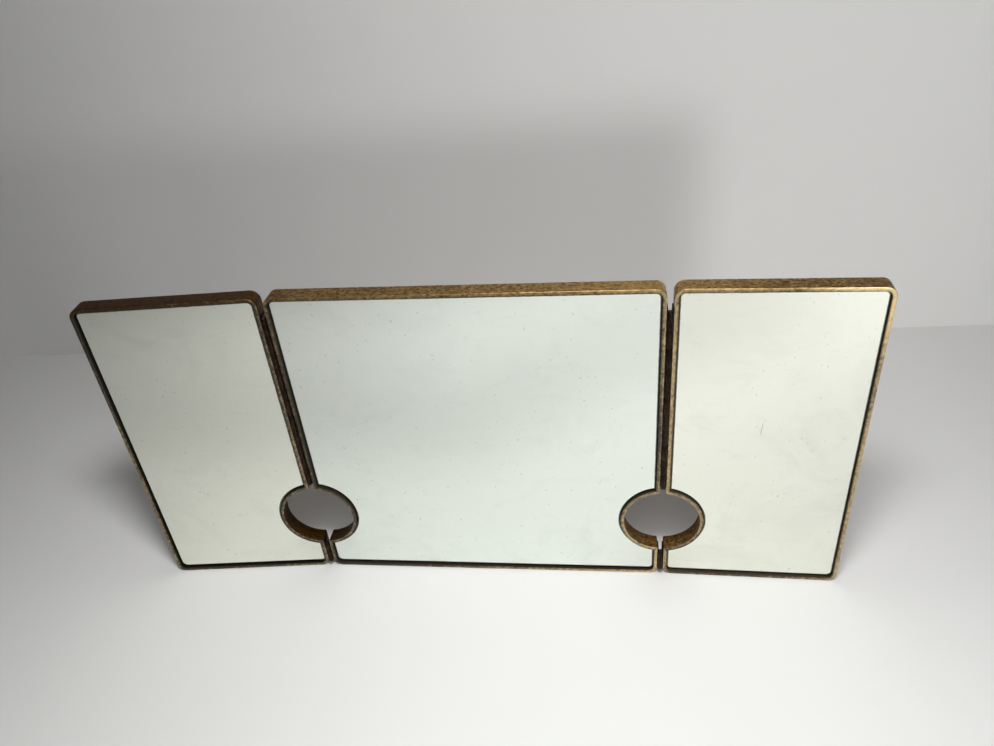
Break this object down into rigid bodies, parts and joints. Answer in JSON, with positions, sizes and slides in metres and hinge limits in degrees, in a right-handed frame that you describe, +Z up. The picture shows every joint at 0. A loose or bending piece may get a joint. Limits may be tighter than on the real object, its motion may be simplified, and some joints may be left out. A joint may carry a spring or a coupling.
{
  "type": "folding vanity mirror",
  "caption": "Folding tabletop vanity mirror: a wide centre panel with a narrow hinged wing on each side, in deep aged brass strip frames that form round finger holes at the hinges.",
  "frame": {"origin": "middle of the flat bottom face of the centre panel, on which it stands", "axes": "+X to the right as the mirrors are faced, along the row of panels; -Y the way the mirrors face; +Z up"},
  "size_m": [0.6046, 0.0278, 0.287],
  "materials": {
    "frame_brass": "aged brass strip with a dark mottled patina, worn brighter on the front edges",
    "mirror_glass": "silvered glass",
    "mastic": "dark mirror mastic",
    "board": "dark stained hardboard",
    "cleat_brass": "dull brass sheet",
    "screw_brass": "worn brass",
    "hinge_brass": "blackened brass",
    "hinge_screw_steel": "blackened steel",
    "pin_steel": "dark steel wire"
  },
  "bodies": {
    "centre_panel": {"centre_backboard": "board", "centre_cleat_screws": "screw_brass", "centre_cleats": "cleat_brass", "centre_frame": "frame_brass", "centre_mastic": "mastic", "centre_mirror": "mirror_glass", "left_lower_hinge_centre_leaf": "hinge_brass", "left_lower_hinge_centre_screws": "hinge_screw_steel", "left_lower_hinge_pin": "pin_steel", "left_upper_hinge_centre_leaf": "hinge_brass", "left_upper_hinge_centre_screws": "hinge_screw_steel", "left_upper_hinge_pin": "pin_steel", "right_lower_hinge_centre_leaf": "hinge_brass", "right_lower_hinge_centre_screws": "hinge_screw_steel", "right_lower_hinge_pin": "pin_steel", "right_upper_hinge_centre_leaf": "hinge_brass", "right_upper_hinge_centre_screws": "hinge_screw_steel", "right_upper_hinge_pin": "pin_steel"},
    "left_wing": {"left_lower_hinge_wing_leaf": "hinge_brass", "left_lower_hinge_wing_screws": "hinge_screw_steel", "left_upper_hinge_wing_leaf": "hinge_brass", "left_upper_hinge_wing_screws": "hinge_screw_steel", "left_wing_backboard": "board", "left_wing_cleat_screws": "screw_brass", "left_wing_cleats": "cleat_brass", "left_wing_frame": "frame_brass", "left_wing_mastic": "mastic", "left_wing_mirror": "mirror_glass"},
    "right_wing": {"right_lower_hinge_wing_leaf": "hinge_brass", "right_lower_hinge_wing_screws": "hinge_screw_steel", "right_upper_hinge_wing_leaf": "hinge_brass", "right_upper_hinge_wing_screws": "hinge_screw_steel", "right_wing_backboard": "board", "right_wing_cleat_screws": "screw_brass", "right_wing_cleats": "cleat_brass", "right_wing_frame": "frame_brass", "right_wing_mastic": "mastic", "right_wing_mirror": "mirror_glass"}
  },
  "joints": [
    {"name": "left_fold", "type": "hinge", "parent": "centre_panel", "child": "left_wing", "pos_m": [-0.1524, -0.0077, 0], "axis": [0, 0, 1], "range_deg": [-15, 175]},
    {"name": "right_fold", "type": "hinge", "parent": "centre_panel", "child": "right_wing", "pos_m": [0.1524, -0.0077, 0], "axis": [0, 0, -1], "range_deg": [-11.5, 178.5]}
  ]
}
